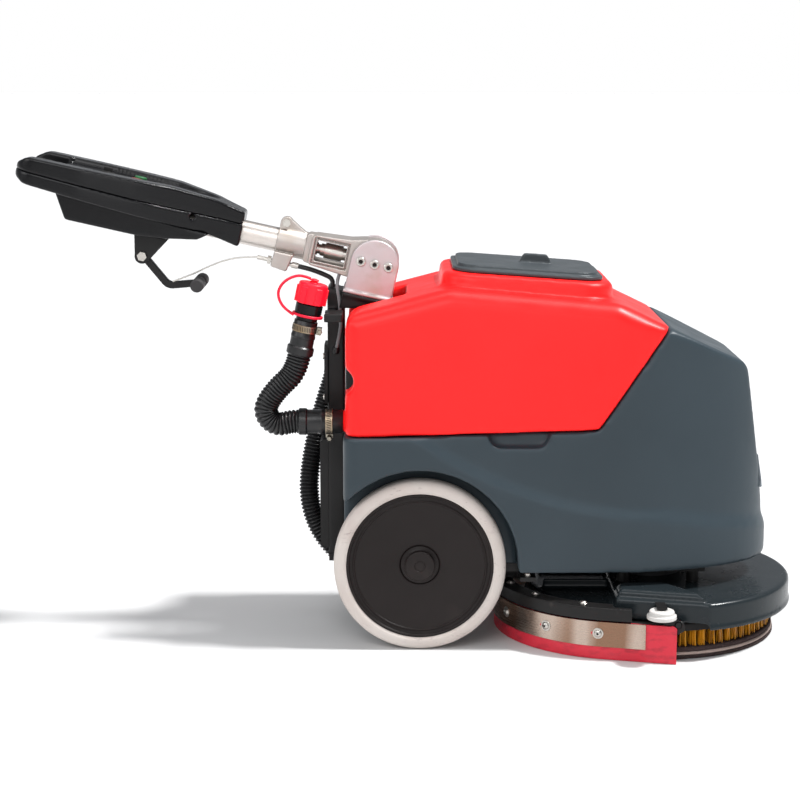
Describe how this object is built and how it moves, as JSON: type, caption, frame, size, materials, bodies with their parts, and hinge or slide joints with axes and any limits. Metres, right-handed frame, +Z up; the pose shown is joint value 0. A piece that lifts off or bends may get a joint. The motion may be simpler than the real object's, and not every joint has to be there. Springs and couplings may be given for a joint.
{
  "type": "walk-behind floor scrubber",
  "caption": "Walk-behind floor scrubber with a round brush deck, curved squeegee, stacked tanks, large rear wheels and a folding tiller handle.",
  "frame": {"origin": "on the floor, below the middle of the machine's outline", "axes": "+X forward, +Y the machine's left, +Z up"},
  "size_m": [1.1087, 0.447, 0.6913],
  "materials": {
    "frame_black": "satin black paint",
    "steel": "zinc-plated and brushed",
    "body_grey": "satin moulded plastic",
    "tank_red": "semi-gloss moulded plastic",
    "cast_metal": "bead-blasted cast",
    "housing_black": "fine-grained satin",
    "deck_grey": "satin moulded plastic",
    "lid_grey": "satin moulded plastic",
    "tyre_grey": "scuffed solid rubber",
    "hose_black": "matte",
    "cap_red": "semi-gloss",
    "roller_white": "satin",
    "blade_red": "satin polyurethane",
    "blade_pale": "matte",
    "bristle": "fibrous",
    "driver_black": "matte",
    "pad_fibre": "open fibre",
    "plate_grey": "satin",
    "cable_grey": "matte",
    "motor_dark": "satin",
    "battery_case": "matte",
    "control_red": "gloss",
    "control_green": "gloss",
    "key_metal": "polished"
  },
  "bodies": {
    "chassis": {"chassis_frame": "frame_black", "rear_column": "frame_black", "column_covers": "frame_black", "frame_screws": "steel", "axle": "steel", "wheel_bearings": "steel", "solution_tank": "body_grey", "front_plate": "plate_grey", "battery_pack": "battery_case", "vacuum_motor": "motor_dark", "pivot_bracket": "cast_metal", "pivot_drum": "cast_metal", "pivot_bolts": "steel", "suction_elbow": "housing_black", "suction_hose": "hose_black", "deck_housing": "deck_grey", "deck_pins": "steel", "brush_gearmotor": "motor_dark", "cable_sheath": "hose_black", "power_cable": "cable_grey"},
    "wheel_right": {"right_tyre": "tyre_grey", "right_wheel": "housing_black"},
    "wheel_left": {"left_tyre": "tyre_grey", "left_wheel": "housing_black"},
    "brush": {"drive_hub": "cast_metal", "pad_driver": "driver_black", "driver_tufts": "bristle", "floor_pad": "pad_fibre"},
    "squeegee": {"squeegee_frame": "frame_black", "inner_blade": "blade_pale", "outer_blade": "blade_red", "clamp_strip": "steel", "clamp_bolts": "steel"},
    "roller_right": {"right_roller": "roller_white"},
    "roller_left": {"left_roller": "roller_white"},
    "tank": {"recovery_tank": "tank_red", "drain_cuffs": "hose_black", "drain_hose": "hose_black", "hose_clamps": "steel", "drain_neck": "housing_black", "float_filter": "housing_black", "cap_tether": "cap_red"},
    "lid": {"tank_lid": "lid_grey", "lid_seal": "hose_black"},
    "cap": {"drain_cap": "cap_red"},
    "handle": {"knuckle": "cast_metal", "handle_tube": "cast_metal", "upper_shell": "housing_black", "lower_shell": "housing_black", "control_box": "housing_black", "lever_bracket": "frame_black", "handle_bolts": "steel", "cable_adjuster": "steel"},
    "lever": {"lever_arm": "frame_black", "lever_grip": "hose_black", "lift_wire": "steel"},
    "pin": {"lock_pin": "steel"},
    "key": {"key_switch": "key_metal"},
    "brush_control": {"brush_button": "control_red"},
    "vacuum_control": {"vacuum_button": "control_green"}
  },
  "joints": [
    {"name": "wheel_right_spin", "type": "hinge", "parent": "chassis", "child": "wheel_right", "pos_m": [0.01, -0.119, 0.122], "axis": [0, 1, 0], "continuous": true},
    {"name": "wheel_left_spin", "type": "hinge", "parent": "chassis", "child": "wheel_left", "pos_m": [0.01, 0.119, 0.122], "axis": [0, 1, 0], "continuous": true},
    {"name": "brush_spin", "type": "hinge", "parent": "chassis", "child": "brush", "pos_m": [0.348, 0, 0.055], "axis": [0, 0, 1], "continuous": true},
    {"name": "squeegee_lift", "type": "hinge", "parent": "chassis", "child": "squeegee", "pos_m": [0.366, 0, 0.056], "axis": [0, 1, 0], "range_deg": [0, 3.5], "deforming": ["suction_hose"]},
    {"name": "roller_right_spin", "type": "hinge", "parent": "chassis", "child": "roller_right", "pos_m": [0.343, -0.203, 0.071], "axis": [0, 0, 1], "continuous": true},
    {"name": "roller_left_spin", "type": "hinge", "parent": "chassis", "child": "roller_left", "pos_m": [0.343, 0.203, 0.071], "axis": [0, 0, 1], "continuous": true},
    {"name": "tank_lift_off", "type": "slide", "parent": "chassis", "child": "tank", "axis": [0, 0, 1], "range_m": [0, 0.1]},
    {"name": "lid_lift_off", "type": "slide", "parent": "tank", "child": "lid", "axis": [0.0698, 0, 0.9976], "range_m": [0, 0.06]},
    {"name": "cap_pull_off", "type": "slide", "parent": "tank", "child": "cap", "axis": [0.2079, 0, 0.9781], "range_m": [0, 0.04], "deforming": ["cap_tether"]},
    {"name": "handle_fold", "type": "hinge", "parent": "chassis", "child": "handle", "pos_m": [-0.054, 0, 0.538], "axis": [0, 1, 0], "range_deg": [0, 80], "deforming": ["cable_sheath", "power_cable"]},
    {"name": "squeegee_lever", "type": "hinge", "parent": "handle", "child": "lever", "pos_m": [-0.38718, 0, 0.54697], "axis": [0, 1, 0], "range_deg": [0, 90], "deforming": ["lift_wire"]},
    {"name": "lock_pin_pull", "type": "slide", "parent": "handle", "child": "pin", "axis": [-0.9755, 0, 0.2198], "range_m": [0, 0.01], "stiffness_N_per_m": 900},
    {"name": "key_turn", "type": "hinge", "parent": "handle", "child": "key", "pos_m": [-0.43542, 0, 0.66496], "axis": [0.2198, 0, 0.9755], "range_deg": [0, 90]},
    {"name": "brush_button_press", "type": "slide", "parent": "handle", "child": "brush_control", "axis": [-0.2198, 0, -0.9755], "range_m": [0, 0.0025], "stiffness_N_per_m": 800},
    {"name": "vacuum_button_press", "type": "slide", "parent": "handle", "child": "vacuum_control", "axis": [-0.2198, 0, -0.9755], "range_m": [0, 0.0025], "stiffness_N_per_m": 800}
  ],
  "couplings": [
    {"joint": "squeegee_lift", "follows": "squeegee_lever", "ratio": 0.038889}
  ]
}
